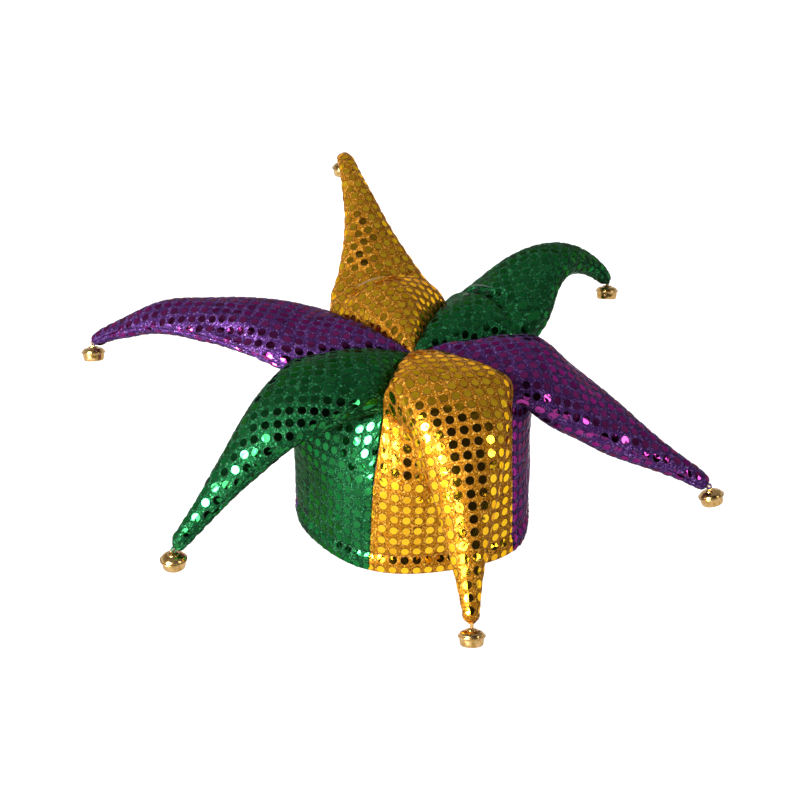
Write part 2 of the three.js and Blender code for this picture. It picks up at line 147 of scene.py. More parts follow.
# Each point's shape along its length. reach is a share of POINT_LENGTH; pitch and yaw are in degrees;
# width is a share of half the shoulder, over of PUFF_OVER and under of PUFF_UNDER; hump is a share of
# FULLNESS for the top face. lean is how far the bell's top leans to the back and to the right, and turn how
# the rows of sequins lie on the upper and the lower piece, both in degrees.
AT = [0, 0.12, 0.25, 0.4, 0.6, 0.8, 1]
GORES = [
    dict(name="gold_front", cloth="gold", reach=0.96, turn=(4, 0), lean=(22, 0),
         pitch=[10, -15, -42, -55, -56, -52, -48], yaw=[0, 5, 0, -3, -5, -5, -5],
         width=[1, 0.86, 0.72, 0.57, 0.38, 0.22, 0.1],
         hump=[0.5, 0.5, 0.7, 1, 1, 1, 1],
         over=[1.5, 1.4, 1.2, 0.95, 0.7, 0.5, 0.3], under=[0.8, 0.8, 0.8, 0.75, 0.6, 0.45, 0.28]),
    dict(name="purple_right", cloth="purple", reach=0.955, turn=(30, 0), lean=(10, -14),
         pitch=[-13, -30, -35, -31, -28, -27, -28], yaw=[0, 0, 0, -2, -5, -5, -5],
         width=[1, 0.93, 0.82, 0.65, 0.46, 0.27, 0.13],
         hump=[1, 1, 1, 1, 1, 1, 1],
         over=[1, 0.88, 0.8, 0.72, 0.6, 0.42, 0.27], under=[0.8, 1.1, 1.25, 1.15, 0.9, 0.54, 0.31]),
    dict(name="green_back_right", cloth="green", reach=0.91, turn=(45, 0), lean=(20, 2),
         pitch=[4, 23, 29, 21, -4, -33, -57], yaw=[0, 8, 8, 3, -5, -13, -17],
         width=[1, 0.9, 0.78, 0.62, 0.42, 0.23, 0.12],
         hump=[0.9, 1, 1, 1, 1, 1, 1],
         over=[1.15, 1.1, 0.9, 0.78, 0.6, 0.38, 0.25], under=[0.8, 1, 1.15, 1.15, 0.95, 0.54, 0.28]),
    dict(name="gold_back", cloth="gold", reach=1, turn=(17, 0), lean=(0, 0),
         pitch=[6, 29, 42, 42, 37, 23, -18], yaw=[0, -1, 0, 2, 4, 0, -6],
         width=[1, 0.88, 0.68, 0.48, 0.29, 0.18, 0.12],
         hump=[1, 1, 1, 1, 1, 1, 1],
         over=[1.5, 0.95, 0.9, 0.8, 0.6, 0.4, 0.28], under=[0.8, 0.9, 0.9, 0.8, 0.6, 0.4, 0.28]),
    dict(name="purple_back_left", cloth="purple", reach=1.1, turn=(0, 0), lean=(18, -2),
         pitch=[9, 11, 7, 1, -8, -22, -40], yaw=[0, 0, 0, 0, 0, 0, 0],
         width=[1, 0.9, 0.76, 0.62, 0.44, 0.25, 0.12],
         hump=[1, 1, 1, 1, 1, 1, 1],
         over=[1.1, 1.1, 1, 0.9, 0.7, 0.4, 0.28], under=[0.8, 0.7, 0.62, 0.62, 0.62, 0.48, 0.3]),
    dict(name="green_front_left", cloth="green", reach=0.975, turn=(45, 0), lean=(0, 0),
         pitch=[4, -4, -17, -33, -42, -41, -39], yaw=[0, -8, -11, -15, -16, -15, -15],
         width=[1, 0.88, 0.74, 0.56, 0.37, 0.21, 0.11],
         hump=[0.7, 0.7, 0.8, 1, 1, 1, 1],
         over=[1.2, 1.2, 1.1, 0.9, 0.65, 0.45, 0.28], under=[0.8, 0.9, 0.9, 0.8, 0.6, 0.4, 0.28]),
]

# Folds: gore, 1 for its upper piece or -1 for its lower, middle in cloth millimetres from the shoulder and
# from the middle line, angle of the groove from the lengthwise direction, half its length, its width and its
# depth
FOLDS = [
    ("gold_back", 1, -4, 20, 90, 28, 8, 5),
    ("green_back_right", 1, -3, -10, 80, 30, 6, 4),
    ("purple_back_left", 1, 50, 34, -15, 24, 6, 4),
]


def mix(a, b, t):
    """a at t 0, b at t 1."""
    return a + (b - a) * t


def smoothstep(t):
    """0 below 0, 1 above 1, and 3t² - 2t³ between."""
    t = np.clip(t, 0, 1)
    return t * t * (3 - 2 * t)


def unit(v):
    """Vectors brought to length 1."""
    return v / np.maximum(np.linalg.norm(v, axis=-1, keepdims=True), 1e-9)


def column(values, s):
    """A smooth curve through a table column: cubic pieces whose slope at each row is a mean of its sides."""
    rows, values = np.asarray(AT, float), np.asarray(values, float)
    slope = np.gradient(values, rows)
    i = np.clip(np.searchsorted(rows, s) - 1, 0, len(rows) - 2)
    h = rows[i + 1] - rows[i]
    t = (s - rows[i]) / h
    return ((2 * t**3 - 3 * t**2 + 1) * values[i] + (t**3 - 2 * t**2 + t) * h * slope[i]
            + (-2 * t**3 + 3 * t**2) * values[i + 1] + (t**3 - t**2) * h * slope[i + 1])


def bell_curve(phi, centre, spread):
    """1 at a plan direction in degrees, fading to both sides of it."""
    aside = (np.degrees(phi) - centre + 180) % 360 - 180
    return np.exp(-(aside / spread) ** 2)


def band(phi, u, z, swell=0.0):
    """Outside of the band: an ellipse's radius at plan angle phi, flattened by a cosine of u across each panel,
    flared evenly with height z, pushed out by swell, and by a bell curve round PUSH_AT towards the hem, and
    pulled in by one round DENT_AT towards the shoulder."""
    r = 1 / np.hypot(np.cos(phi) / (CROWN_WIDTH / 2), np.sin(phi) / (CROWN_DEPTH / 2))
    r = r * (1 - FLATNESS * np.cos(np.pi * u)) * (1 + SHOULDER_FLARE * z / SHOULDER_HEIGHT) + swell
    r = r + HEM_PUSH * bell_curve(phi, PUSH_AT, PUSH_SPREAD) * (1 - z / SHOULDER_HEIGHT)
    pull = smoothstep((z / SHOULDER_HEIGHT - DENT_FROM) / (1 - DENT_FROM))
    r = r - DENT_DEEP * bell_curve(phi, DENT_AT, DENT_SPREAD) * pull
    return np.stack(np.broadcast_arrays(r * np.cos(phi), r * np.sin(phi), z + 0 * r), -1)


def spine(k, gore, stations):
    """The middle line of a point: steps along the direction that pitch and yaw give, added up from the
    middle of the shoulder, with side and up vectors square to it."""
    start, end = np.radians(SHOULDER_SEAMS[k]), np.radians(SHOULDER_SEAMS[k + 1])
    left, right = band(start, -1, SHOULDER_HEIGHT), band(end, 1, SHOULDER_HEIGHT)
    middle = (left + right) / 2
    half = np.linalg.norm(right - left) / 2
    chord = (right - left) / (2 * half)
    outward = np.arctan2(-chord[0], chord[1])
    length = gore["reach"] * POINT_LENGTH

    def along(s):
        pitch, yaw = np.radians(column(gore["pitch"], s)), outward + np.radians(column(gore["yaw"], s))
        go = np.stack([np.cos(pitch) * np.cos(yaw), np.cos(pitch) * np.sin(yaw), np.sin(pitch)], -1)
        return go, np.stack([-np.sin(yaw), np.cos(yaw), 0 * yaw], -1)

    fine = np.linspace(0, 1, 97)
    go, _ = along((fine[1:] + fine[:-1]) / 2)
    places = middle + np.vstack([np.zeros(3), np.cumsum(go * length / 96, axis=0)])
    place = np.stack([np.interp(stations, fine, places[:, a]) for a in range(3)], -1)
    go, side = along(stations)
    return dict(k=k, gore=gore, start=start, end=end, left=left, right=right, middle=middle, half=half,
                chord=chord, length=length, place=place, along=go, side=side, up=np.cross(go, side), s=stations)


def bow(sp, c):
    """How far the round band stands out from the straight chord of a gore, at c from -1 to 1 across it."""
    phi = mix(sp["start"], sp["end"], (c + 1) / 2)
    return band(phi, c, SHOULDER_HEIGHT) - (sp["middle"] + sp["half"] * c[..., None] * sp["chord"])


ANGLE = np.linspace(-np.pi / 2, np.pi / 2, ACROSS + 1)
C = np.sin(ANGLE)
RISE = np.clip(np.cos(ANGLE), 0, 1)
FULL = RISE ** FULLNESS
AT_SEAM = smoothstep((np.abs(ANGLE) / (np.pi / 2) - 0.86) / 0.14)
BY_SEAM = smoothstep((np.abs(ANGLE) / (np.pi / 2) - 0.55) / 0.45)
UP = np.array([0, 0, 1.0])


def point_stations(length):
    """Shares of a point's length: even, then the steps of a quarter circle round the tip."""
    tip = TIP_RADIUS / length
    turn = np.linspace(0, 0.47 * np.pi, 9)
    return np.concatenate([np.linspace(0, 1 - tip, POINT_ROWS, endpoint=False), 1 - tip + tip * np.sin(turn)])


def point_skin(sp, way):
    """A point's face: across each station a raised half ellipse, c = sin a across and cos a to the power
    FULLNESS up; the tip closes as a quarter circle, and both edges tuck in at the side seam."""
    s = sp["s"][:, None]
    tip = 1 - TIP_RADIUS / sp["length"]
    close = np.sqrt(1 - (np.clip(s - tip, 0, None) / (1 - tip)) ** 2)
    wide = sp["half"] * column(sp["gore"]["width"], s) * close
    over, under = PUFF_OVER * column(sp["gore"]["over"], s), PUFF_UNDER * column(sp["gore"]["under"], s)
    puff = over if way > 0 else under
    across = C * wide - np.sign(C) * AT_SEAM * np.minimum(SEAM_TUCK * smoothstep(s / 0.05), 0.25 * wide)
    lift = unit(mix(UP, sp["up"], smoothstep(s / LIFT_SHARE)))
    skin = sp["place"][:, None] + across[..., None] * sp["side"][:, None]
    full = RISE ** (FULLNESS * column(sp["gore"]["hump"], s)) if way > 0 else FULL
    skin = skin + (way * full * puff * close)[..., None] * lift[:, None]
    skin = skin + (np.clip(1 - s / BLEND_SHARE, 0, None) ** 2)[..., None] * bow(sp, C)[None]
    return skin


def roof_skin(sp):
    """A roof sector: rows from the crown centre out to the shoulder, each raised as the point is there."""
    centre = np.array([0, 0, SHOULDER_HEIGHT + CENTRE_RISE])
    q = np.linspace(CENTRE_SHARE, 1, ROOF_ROWS, endpoint=False)[:, None, None]
    start, end = mix(centre, sp["left"], q), mix(centre, sp["right"], q)
    deep = PUFF_OVER * column(sp["gore"]["over"], 0.0) * np.sin(np.pi / 2 * np.minimum(1, q / DOME_SHARE))
    full = RISE[None, :, None] ** (FULLNESS * sp["gore"]["hump"][0])
    return mix(start, end, (C[None, :, None] + 1) / 2) + q**2 * bow(sp, C)[None] + full * deep * UP


def fold_inset(z):
    """How far the quarter round of the hem's fold stands back at height z."""
    r = HEM_CLOTH / 2
    return r - np.sqrt(r**2 - np.clip(r - z, 0, r) ** 2)


def band_skin(sp):
    """A band panel: rows from the rounded fold of the hem up to where the underside leaves it. The cloth
    swells out below the stitch line, is pulled in at it and dips at both seams."""
    fold = HEM_CLOTH / 2 * (1 - np.cos(np.linspace(0, np.pi / 2, 6)))
    hem = np.concatenate([fold, np.linspace(3, 26, 20)])[:, None]
    top = SHOULDER_HEIGHT - PUFF_UNDER * column(sp["gore"]["under"], 0.0) * FULL[None]
    rows = mix(hem[-1], top, np.linspace(0, 1, BAND_ROWS + 1)[1:-1, None])
    z = np.concatenate([hem + 0 * top, rows])
    lean = z / SHOULDER_HEIGHT
    phi = mix(np.radians(mix(HEM_SEAMS[sp["k"]], HEM_SEAMS[sp["k"] + 1], (C + 1) / 2)),
              mix(sp["start"], sp["end"], (C + 1) / 2), lean)
    swell = HEM_SWELL * np.sin(np.pi * np.clip(z / HEM_HEIGHT, 0, 1))
    swell = swell - STITCH_DIP * np.exp(-((z - HEM_HEIGHT) / 2.4) ** 2)
    swell = swell - SEAM_DIP * AT_SEAM * smoothstep(z / 6) * smoothstep((SHOULDER_HEIGHT - z) / 8)
    return band(phi, C, z, swell - fold_inset(z)), z


def soften(skin, times):
    """Rows eased towards the mean of the rows beside them, not at the seams."""
    for _ in range(times):
        mean = (skin[2:] + skin[:-2]) / 2
        skin[1:-1] += (mean - skin[1:-1]) * (0.5 * (1 - BY_SEAM))[None, :, None]
    return skin


def chart(skin, shoulder):
    """Cloth lengths in millimetres: u along the middle column from the shoulder row, v across each row."""
    m = skin.shape[1] // 2
    u = np.concatenate([[0], np.cumsum(np.linalg.norm(np.diff(skin[:, m], axis=0), axis=-1))])
    step = np.linalg.norm(np.diff(skin, axis=1), axis=-1)
    v = np.concatenate([np.zeros((len(skin), 1)), np.cumsum(step, axis=1)], axis=1)
    return u - u[shoulder], v - v[:, m:m + 1]


def outward(skin, way):
    """Unit normals of a skin from the differences between its rows and between its columns."""
    return way * unit(np.cross(np.gradient(skin, axis=0), np.gradient(skin, axis=1)))


def relief(name, way, u, v, seed):
    """How far the cloth stands out in millimetres: slow waves of five sizes, a pucker every PUCKER_PITCH beside
    the seams, and the folds of the table, each a bell-shaped groove between two lower ridges."""
    rng = np.random.default_rng(seed)
    out = 0 * v
    for size in (34, 45, 58, 75, 95):
        angle, phase = rng.uniform(0, 2 * np.pi, 2)
        along = u[:, None] * np.cos(angle) + v * np.sin(angle)
        out += WAVES / 5 * size / 45 * np.sin(2 * np.pi * along / size + phase)
    out *= 1 - BY_SEAM[None]
    edge = np.minimum(v - v[:, :1], v[:, -1:] - v)
    out += PUCKER * np.cos(2 * np.pi * u[:, None] / PUCKER_PITCH) * np.exp(-((edge - 4) / 3) ** 2)
    for piece, side, at_u, at_v, angle, length, width, depth in FOLDS:
        if (piece, side) != (name, way):
            continue
        a = np.radians(angle)
        p = (u[:, None] - at_u) * np.cos(a) + (v - at_v) * np.sin(a)
        q = -(u[:, None] - at_u) * np.sin(a) + (v - at_v) * np.cos(a)
        groove = np.exp(-(q / width) ** 2) - 0.45 * np.exp(-((np.abs(q) - 2 * width) / width) ** 2)
        out -= depth * groove * np.exp(-(p / length) ** 2) * (1 - AT_SEAM[None])
    return out


def grid_faces(n, m, first=0):
    """Four corners of each cell of an n by m grid of vertices."""
    i, j = np.meshgrid(np.arange(n - 1), np.arange(m - 1), indexing="ij")
    a = (first + i * m + j).ravel()
    return np.stack([a, a + 1, a + m + 1, a + m], -1)


def wall(skin, lining):
    """A closed wall between two grids of the same size, with strips round all four edges."""
    n, m = skin.shape[:2]
    outer, inner = grid_faces(n, m), grid_faces(n, m, n * m)[:, ::-1]
    ring = np.concatenate([np.arange(m), np.arange(1, n) * m + m - 1, (n - 1) * m + np.arange(m - 2, -1, -1),
                           np.arange(n - 2, 0, -1) * m])
    after = np.roll(ring, -1)
    rim = np.stack([after, ring, ring + n * m, after + n * m], -1)
    corners = np.concatenate([skin.reshape(-1, 3), lining.reshape(-1, 3)])
    faces = np.concatenate([outer, inner, rim])
    return corners, faces, np.repeat([0, 1, 0], [len(outer), len(inner), len(rim)])


def add_mesh(name, corners, faces, materials, smooth=True):
    """A mesh piece at the origin that rides on the part's body; corners are in millimetres from the crown's
    axis."""
    mesh = bpy.data.meshes.new(name)
    mesh.from_pydata(((corners + HAT_AT) * MM).tolist(), [], faces)
    for material in materials:
        mesh.materials.append(material)
    mesh.polygons.foreach_set("use_smooth", np.full(len(mesh.polygons), smooth))
    piece = bpy.data.objects.new(name, mesh)
    bpy.context.scene.collection.objects.link(piece)
    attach(piece, "root")
    return piece


def cloth_piece(name, node, skin, inward, turned_over, chart_uv, materials):
    """A wall of cloth from its skin and the steps in to its lining, with the chart as its UV map in metres of
    cloth. The second material is the lining."""
    corners, faces, which = wall(skin, skin + inward)
    faces = faces[:, ::-1] if turned_over else faces
    piece = add_mesh(name, corners, faces.tolist(), materials)
    piece.data.polygons.foreach_set("material_index", which.astype(np.int32))
    u, v = chart_uv
    flat = np.stack(np.broadcast_arrays(u[:, None], v), -1).reshape(-1, 2)
    corner = np.empty(len(piece.data.loops), np.int32)
    piece.data.loops.foreach_get("vertex_index", corner)
    uv = np.concatenate([flat, flat])[corner] * MM
    piece.data.uv_layers.new(name="cloth").data.foreach_set("uv", uv.ravel())
    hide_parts(node)


def on_skin(skin, u, v, at_u, at_v):
    """Places of a skin at chart coordinates, linear between its rows and columns, held inside its edges, with
    the distance that is left to the nearest edge."""
    row = np.interp(at_u, u, np.arange(len(u)))
    i = np.clip(row.astype(int), 0, len(u) - 2)
    f = (row - i)[:, None]
    across = mix(v[i], v[i + 1], f)
    j = np.clip((across < at_v[:, None]).sum(1) - 1, 0, skin.shape[1] - 2)
    n = np.arange(len(i))
    low, high = across[n, j], across[n, j + 1]
    g = np.clip((at_v - low) / (high - low), 0, 1)[:, None]
    place = mix(mix(skin[i, j], skin[i + 1, j], f), mix(skin[i, j + 1], skin[i + 1, j + 1], f), g)
    room = np.minimum.reduce([at_v - across[:, 0], across[:, -1] - at_v, at_u - u[0], u[-1] - at_u])
    return place, room


def sequins(name, skin, u, v, way, turn, materials, seed):
    """Foil discs on a square lattice turned by an angle in the chart: corner ring = centre + r (cos t, sin t),
    laid flat on the tangent plane and bent to the cloth by the share that keeps it within SEQUIN_OFF of it,
    wholly bent at a seam. The second material is the cut edge."""
    rng = np.random.default_rng(seed)
    reach = int(max(np.ptp(u), np.ptp(v)) / SEQUIN_PITCH) + 2
    a, b = np.meshgrid(np.arange(-reach, reach + 1), np.arange(-reach, reach + 1))
    a, b = (a.ravel() + 0.3) * SEQUIN_PITCH, (b.ravel() + 0.5) * SEQUIN_PITCH
    t = np.radians(turn)
    at_u, at_v = a * np.cos(t) - b * np.sin(t), a * np.sin(t) + b * np.cos(t)
    inside = (at_u > u[0]) & (at_u < u[-1])
    at_u, at_v = at_u[inside], at_v[inside]
    at_u = at_u + rng.normal(0, SEQUIN_STRAY, len(at_u))
    at_v = at_v + rng.normal(0, SEQUIN_STRAY, len(at_v))
    centre, room = on_skin(skin, u, v, at_u, at_v)
    kept = room > SEQUIN_ROOM * SEQUIN_RADIUS
    at_u, at_v, centre, room = at_u[kept], at_v[kept], centre[kept], room[kept]
    ahead = on_skin(skin, u, v, at_u + 1, at_v)[0] - on_skin(skin, u, v, at_u - 1, at_v)[0]
    aside = on_skin(skin, u, v, at_u, at_v + 1)[0] - on_skin(skin, u, v, at_u, at_v - 1)[0]
    normal = way * unit(np.cross(ahead, aside))
    ahead = unit(ahead)
    aside = way * np.cross(normal, ahead)
    count = len(at_u)
    angle = way * np.linspace(0, 2 * np.pi, SEQUIN_SIDES, endpoint=False)
    x, y = SEQUIN_RADIUS * np.cos(angle), SEQUIN_RADIUS * np.sin(angle)
    bent = on_skin(skin, u, v, (at_u[:, None] + x).ravel(), (at_v[:, None] + y).ravel())[0]
    bent = bent.reshape(count, -1, 3)
    tilt = rng.normal(0, SEQUIN_TILT, (count, 2))
    flat = (centre[:, None] + x[None, :, None] * ahead[:, None] + y[None, :, None] * aside[:, None]
            + (tilt[:, :1] * x + tilt[:, 1:] * y)[..., None] * normal[:, None])
    off = np.linalg.norm(flat - bent, axis=-1).mean(1)
    bend = np.maximum(SEQUIN_BEND, 1 - SEQUIN_OFF / np.maximum(off, SEQUIN_OFF))
    bend = mix(bend, 1, smoothstep((SEQUIN_RADIUS * 1.15 - room) / SEQUIN_RADIUS))
    ring = mix(flat, bent, bend[:, None, None])
    lift = normal[:, None]
    top = mix(centre[:, None], ring, SEQUIN_FACE) + SEQUIN_LIFT * lift
    corners = np.concatenate([ring - SEQUIN_SINK * lift, ring + (SEQUIN_LIFT - SEQUIN_BEVEL) * lift, top,
                              centre[:, None] + SEQUIN_LIFT * lift], 1)
    k = SEQUIN_SIDES
    first = (np.arange(count) * (3 * k + 1))[:, None, None]
    i = np.arange(k)
    on = np.roll(i, -1)
    sides = [first + np.stack([i + o, on + o, on + o + k, i + o + k], -1) for o in (0, k)]
    fan = first + np.stack([i + 2 * k, on + 2 * k, 0 * i + 3 * k], -1)
    faces = (np.concatenate(sides, 1).reshape(-1, 4).tolist() + (first[:, 0] + i[::-1]).tolist()
             + fan.reshape(-1, 3).tolist())
    piece = add_mesh(name, corners.reshape(-1, 3), faces, materials, smooth=False)
    foil = np.repeat([1, 0], [(2 * k + 1) * count, k * count])
    piece.data.polygons.foreach_set("material_index", foil.astype(np.int32))
    tone = np.repeat(rng.uniform(0, 1, count), 3 * k + 1)
    piece.data.attributes.new("tone", "FLOAT", "POINT").data.foreach_set("value", tone.astype(np.float32))
    return piece


def colour(code):
    """A sheet's sRGB hex code as the linear colour that the shaders take."""
    value = np.array([int(code[i:i + 2], 16) for i in (1, 3, 5)]) / 255
    return (*np.where(value <= 0.04045, value / 12.92, ((value + 0.055) / 1.055) ** 2.4), 1.0)


def add_node(tree, kind, **values):
    """One shader node; values are its settings, or its inputs by name with _ for a space or as in0, in1 by
    number, where a pair of a node and an output's name makes a link."""
    node = tree.nodes.new("ShaderNode" + kind)
    for name, value in values.items():
        if hasattr(node, name):
            setattr(node, name, value)
            continue
        counted = name.startswith("in") and name[2:].isdigit()
        socket = node.inputs[int(name[2:]) if counted else name.replace("_", " ")]
        if isinstance(value, tuple) and hasattr(value[0], "outputs"):
            tree.links.new(value[0].outputs[value[1]], socket)
        else:
            socket.default_value = value
    return node


def new_material(name):
    """An empty node material, with its tree and its output node."""
    material = bpy.data.materials.new(name)
    material.use_nodes = True
    material.node_tree.nodes.clear()
    return material, material.node_tree, material.node_tree.nodes.new("ShaderNodeOutputMaterial")


def ramp(tree, source, stops):
    """A colour ramp over a source, from (place, colour code) stops."""
    node = add_node(tree, "ValToRGB", Fac=source)
    while len(node.color_ramp.elements) < len(stops):
        node.color_ramp.elements.new(0.5)
    for element, (place, code) in zip(node.color_ramp.elements, stops):
        element.position = place
        element.color = colour(code)
    return node


def foil_knit(name, dark, mid, light):
    """Knit cloth printed with foil: metallic specks under a millimetre across, each tilted its own way, so the
    ground glitters finely between darker loops of yarn."""
    material, tree, out = new_material(name)
    at = (add_node(tree, "UVMap", uv_map="cloth"), "UV")
    specks = add_node(tree, "TexVoronoi", Vector=at, Scale=1150.0)
    value = add_node(tree, "SeparateColor", Color=(specks, "Color"))
    patch = add_node(tree, "TexNoise", Vector=at, Scale=160.0, Detail=3.0)
    mixed = add_node(tree, "Math", operation="MULTIPLY_ADD", in0=(patch, "Fac"), in1=0.35, in2=-0.17)
    level = add_node(tree, "Math", operation="ADD", in0=(value, "Red"), in1=(mixed, "Value"))
    shade = ramp(tree, (level, "Value"), [(0.0, dark), (0.45, mid), (0.8, mid), (1.0, light)])
    foil = add_node(tree, "Math", operation="GREATER_THAN", in0=(value, "Green"), in1=0.4)
    metal = add_node(tree, "Math", operation="MULTIPLY", in0=(foil, "Value"), in1=0.8)
    rough = add_node(tree, "MapRange", Value=(value, "Blue"), To_Min=0.4, To_Max=0.7)
    lump = add_node(tree, "Math", operation="MULTIPLY", in0=(value, "Red"), in1=0.6)
    height = add_node(tree, "Math", operation="SUBTRACT", in0=(lump, "Value"), in1=(specks, "Distance"))
    bump = add_node(tree, "Bump", Strength=0.55, Distance=0.00035, Height=(height, "Value"))
    shader = add_node(tree, "BsdfPrincipled", Base_Color=(shade, "Color"), Metallic=(metal, "Value"),
                      Roughness=(rough, "Result"), Specular_IOR_Level=0.15, Specular_Tint=colour(light),
                      Normal=(bump, "Normal"))
    tree.links.new(shader.outputs[0], out.inputs[0])
    return material


def sequin_foil(name, deep, bright):
    """Mirror foil on a thin flat disc: each flashes or goes dark as a whole, in slightly different shades."""
    material, tree, out = new_material(name)
    tone = add_node(tree, "Attribute", attribute_name="tone")
    shade = ramp(tree, (tone, "Fac"), [(0.0, deep), (0.5, bright), (1.0, bright)])
    at = (add_node(tree, "TexCoord"), "Object")
    wave = add_node(tree, "TexNoise", Vector=at, Scale=250.0, Detail=0.0)
    bump = add_node(tree, "Bump", Strength=1.0, Distance=0.0002, Height=(wave, "Fac"))
    shader = add_node(tree, "BsdfPrincipled", Base_Color=(shade, "Color"), Metallic=1.0, Roughness=0.1,
                      Specular_Tint=colour(bright), Coat_Weight=0.15, Coat_Roughness=0.04, Coat_IOR=1.4,
                      Normal=(bump, "Normal"))
    tree.links.new(shader.outputs[0], out.inputs[0])
    return material


def sequin_edge(name, code):
    """The cut edge of a foil disc: the dull dark side of the plastic sheet, a little worn."""
    material, tree, out = new_material(name)
    at = (add_node(tree, "TexCoord"), "Object")
    wear = add_node(tree, "TexNoise", Vector=at, Scale=700.0, Detail=2.0)
    shade = ramp(tree, (wear, "Fac"), [(0.35, "#0A0806"), (0.75, code)])
    shader = add_node(tree, "BsdfPrincipled", Base_Color=(shade, "Color"), Roughness=0.6,
                      Specular_IOR_Level=0.15)
    tree.links.new(shader.outputs[0], out.inputs[0])
    return material


def lining_knit(name, dark, mid):
    """The back of the cloth inside the hat: matt brushed knit with fine ribs."""
    material, tree, out = new_material(name)
    at = (add_node(tree, "UVMap", uv_map="cloth"), "UV")
    ribs = add_node(tree, "TexWave", Vector=at, Scale=260.0, Distortion=1.5, Detail=2.0)
    fuzz = add_node(tree, "TexNoise", Vector=at, Scale=900.0, Detail=3.0)
    shade = ramp(tree, (fuzz, "Fac"), [(0.3, dark), (0.7, mid)])
    bump = add_node(tree, "Bump", Strength=0.4, Distance=0.0003, Height=(ribs, "Color"))
    shader = add_node(tree, "BsdfPrincipled", Base_Color=(shade, "Color"), Roughness=0.85, Sheen_Weight=0.3,
                      Normal=(bump, "Normal"))
    tree.links.new(shader.outputs[0], out.inputs[0])
    return material


def thread(name, code):
    """Twisted polyester thread: a soft gloss broken by its ply."""
    material, tree, out = new_material(name)
    at = (add_node(tree, "TexCoord"), "Object")
    ply = add_node(tree, "TexNoise", Vector=at, Scale=2500.0, Detail=1.0)
    bump = add_node(tree, "Bump", Strength=0.5, Distance=0.0001, Height=(ply, "Fac"))
    shader = add_node(tree, "BsdfPrincipled", Base_Color=colour(code), Roughness=0.45, Normal=(bump, "Normal"))
    tree.links.new(shader.outputs[0], out.inputs[0])
    return material


def plated_brass():
    """Thin brass-gold plating over pressed sheet: bright, with faint wipe marks that vary its shade and
    roughness.
    """
    material, tree, out = new_material("plated brass")
    at = (add_node(tree, "TexCoord"), "Object")
    marks = add_node(tree, "TexNoise", Vector=at, Scale=300.0, Detail=4.0)
    rough = add_node(tree, "MapRange", Value=(marks, "Fac"), To_Min=0.12, To_Max=0.34)
    shade = ramp(tree, (marks, "Fac"), [(0.3, "#A8803C"), (0.7, "#D6B27A")])
    bump = add_node(tree, "Bump", Strength=0.15, Distance=0.0003, Height=(marks, "Fac"))
    shader = add_node(tree, "BsdfPrincipled", Base_Color=(shade, "Color"), Metallic=1.0,
                      Roughness=(rough, "Result"), Normal=(bump, "Normal"))
    tree.links.new(shader.outputs[0], out.inputs[0])
    return material


def turned(profile, sides):
    """A ring of corners for each [radius, height] of a closed profile, and the quads between the rings."""
    profile = np.asarray(profile, float)
    a = np.linspace(0, 2 * np.pi, sides, endpoint=False)
    corners = np.stack([profile[:, :1] * np.cos(a), profile[:, :1] * np.sin(a), profile[:, 1:] + 0 * a], -1)
    n = len(profile)
    i, j = np.meshgrid(np.arange(n), np.arange(sides), indexing="ij")
    up, on = (i + 1) % n, (j + 1) % sides
    faces = np.stack([i * sides + j, i * sides + on, up * sides + on, up * sides + j], -1).reshape(-1, 4)
    return corners.reshape(-1, 3), faces


def rounded(points, times=2):
    """A profile with its corners cut by quarters, as often as times says; its ends stay."""
    points = np.asarray(points, float)
    for _ in range(times):
        cut = np.stack([mix(points[:-1], points[1:], 0.25), mix(points[:-1], points[1:], 0.75)], 1)
        points = np.vstack([points[:1], cut.reshape(-1, 2)[1:-1], points[-1:]])
    return points


def tube(path, radius, sides, closed):
    """A round wire along a path of places: rings of corners square to the path, capped where it is open."""
    path = np.asarray(path, float)
    ahead = unit(np.roll(path, -1, 0) - np.roll(path, 1, 0)) if closed else unit(np.gradient(path, axis=0))
    aside = unit(np.cross(ahead, [0.31, 0.17, 0.93]))
    other = np.cross(ahead, aside)
    a = np.linspace(0, 2 * np.pi, sides, endpoint=False)
    rings = path[:, None] + radius * (np.cos(a)[:, None] * aside[:, None] + np.sin(a)[:, None] * other[:, None])
    n = len(path)
    i, j = np.meshgrid(np.arange(n if closed else n - 1), np.arange(sides), indexing="ij")
    up, on = (i + 1) % n, (j + 1) % sides
    faces = np.stack([i * sides + j, i * sides + on, up * sides + on, up * sides + j], -1)
    faces = faces.reshape(-1, 4).tolist()
    if not closed:
        faces += [list(range(sides))[::-1], list(range((n - 1) * sides, n * sides))]
    return rings.reshape(-1, 3), faces


def joined(parts):
    """Several (corners, faces) as one."""
    corners, faces, first = [], [], 0
    for c, f in parts:
        corners.append(c)
        faces += [[first + i for i in face] for face in f]
        first += len(c)
    return np.concatenate(corners), faces


def cut_slots(corners, faces, cutters):
    """The mesh with the boxes or bars of cutters taken out of it by exact booleans."""
    def plain(name, c, f):
        mesh = bpy.data.meshes.new(name)
        mesh.from_pydata((np.asarray(c) * MM).tolist(), [], [list(x) for x in f])
        return bpy.data.objects.new(name, mesh)
    body = plain("bowl", corners, faces)
    bpy.context.scene.collection.objects.link(body)
    tools = [plain("cutter", c, f) for c, f in cutters]
    for tool in tools:
        bpy.context.scene.collection.objects.link(tool)
        cut = body.modifiers.new("slot", "BOOLEAN")
        cut.operation, cut.solver, cut.object = "DIFFERENCE", "EXACT", tool
    done = body.evaluated_get(bpy.context.evaluated_depsgraph_get()).to_mesh()
    out = np.array([v.co[:] for v in done.vertices]) / MM, [list(p.vertices) for p in done.polygons]
    for piece in [body, *tools]:
        bpy.data.objects.remove(piece)
    return out


